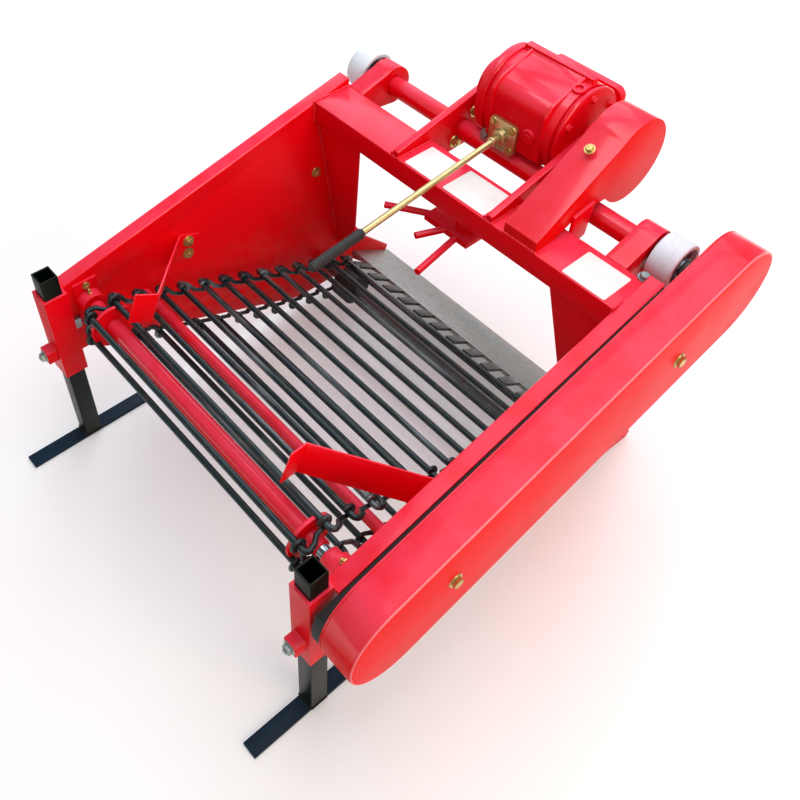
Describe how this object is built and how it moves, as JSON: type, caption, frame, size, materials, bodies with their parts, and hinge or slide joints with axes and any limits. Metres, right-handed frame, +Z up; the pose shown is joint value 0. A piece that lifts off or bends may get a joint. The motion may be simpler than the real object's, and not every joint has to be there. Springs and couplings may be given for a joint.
{
  "type": "potato digger",
  "caption": "Walk-behind potato digger with an inclined rod web between red side plates, a chain drive guard, a front gearbox and height-adjustable rear legs.",
  "frame": {"origin": "middle of the machine's box, on the ground", "axes": "+X to the machine's right, +Y in the direction of travel, +Z up"},
  "size_m": [0.816, 0.993, 0.628],
  "materials": {
    "frame_red": "gloss",
    "plate_red": "gloss",
    "guard_red": "gloss",
    "gearbox_red": "semi-gloss cast",
    "leg_paint": "satin",
    "skid_steel": "satin",
    "rod_steel": "worn dark",
    "shaft_steel": "satin",
    "bearing_iron": "matt",
    "roller_iron": "matt",
    "wheel_tread": "matt",
    "wheel_hub": "satin",
    "zinc": "yellow passivated",
    "grip": "matt",
    "blade_steel": "worn"
  },
  "bodies": {
    "frame": {"left_side_plate": "plate_red", "right_side_plate": "plate_red", "crossbeam": "frame_red", "corner_gussets": "frame_red", "leg_sleeves": "frame_red", "shaft_bearings": "frame_red", "rear_drive_shaft": "frame_red", "web_star_wheels": "bearing_iron", "front_idler_shaft": "shaft_steel", "front_idler_rollers": "roller_iron", "rod_web": "rod_steel", "inner_tie_tube": "frame_red", "cross_tube": "frame_red", "cross_shaft": "shaft_steel", "tube_brackets": "frame_red", "long_chain_guard": "guard_red", "chain_back_plate": "guard_red", "guard_spacers": "shaft_steel", "guard_bolts": "shaft_steel", "gearbox_arms": "frame_red", "gearbox_housing": "gearbox_red", "gearbox_left_cover": "gearbox_red", "gearbox_right_cover": "gearbox_red", "output_housing": "gearbox_red", "gearbox_mount_flange": "gearbox_red", "short_chain_case": "guard_red", "case_support_plate": "frame_red", "shifter_flange": "zinc", "clutch_lever_rod": "zinc", "lever_grip": "grip", "deflectors": "plate_red", "digging_blade": "blade_steel", "lifting_fingers": "blade_steel", "blade_arms": "frame_red", "hitch_bracket": "frame_red"},
    "left_leg": {"left_leg_tube": "leg_paint", "left_skid": "skid_steel"},
    "right_leg": {"right_leg_tube": "leg_paint", "right_skid": "skid_steel"},
    "left_wheel": {"left_wheel_tread": "wheel_tread", "left_wheel_hub": "wheel_hub"},
    "right_wheel": {"right_wheel_tread": "wheel_tread", "right_wheel_hub": "wheel_hub"}
  },
  "joints": [
    {"name": "left_leg_slide", "type": "slide", "parent": "frame", "child": "left_leg", "axis": [0, 0, 1], "range_m": [-0.08, 0.1]},
    {"name": "right_leg_slide", "type": "slide", "parent": "frame", "child": "right_leg", "axis": [0, 0, 1], "range_m": [-0.08, 0.1]},
    {"name": "left_wheel_spin", "type": "hinge", "parent": "frame", "child": "left_wheel", "pos_m": [-0.38, 0.3255, 0.469], "axis": [1, 0, 0], "continuous": true},
    {"name": "right_wheel_spin", "type": "hinge", "parent": "frame", "child": "right_wheel", "pos_m": [0.29, 0.3255, 0.469], "axis": [1, 0, 0], "continuous": true}
  ]
}
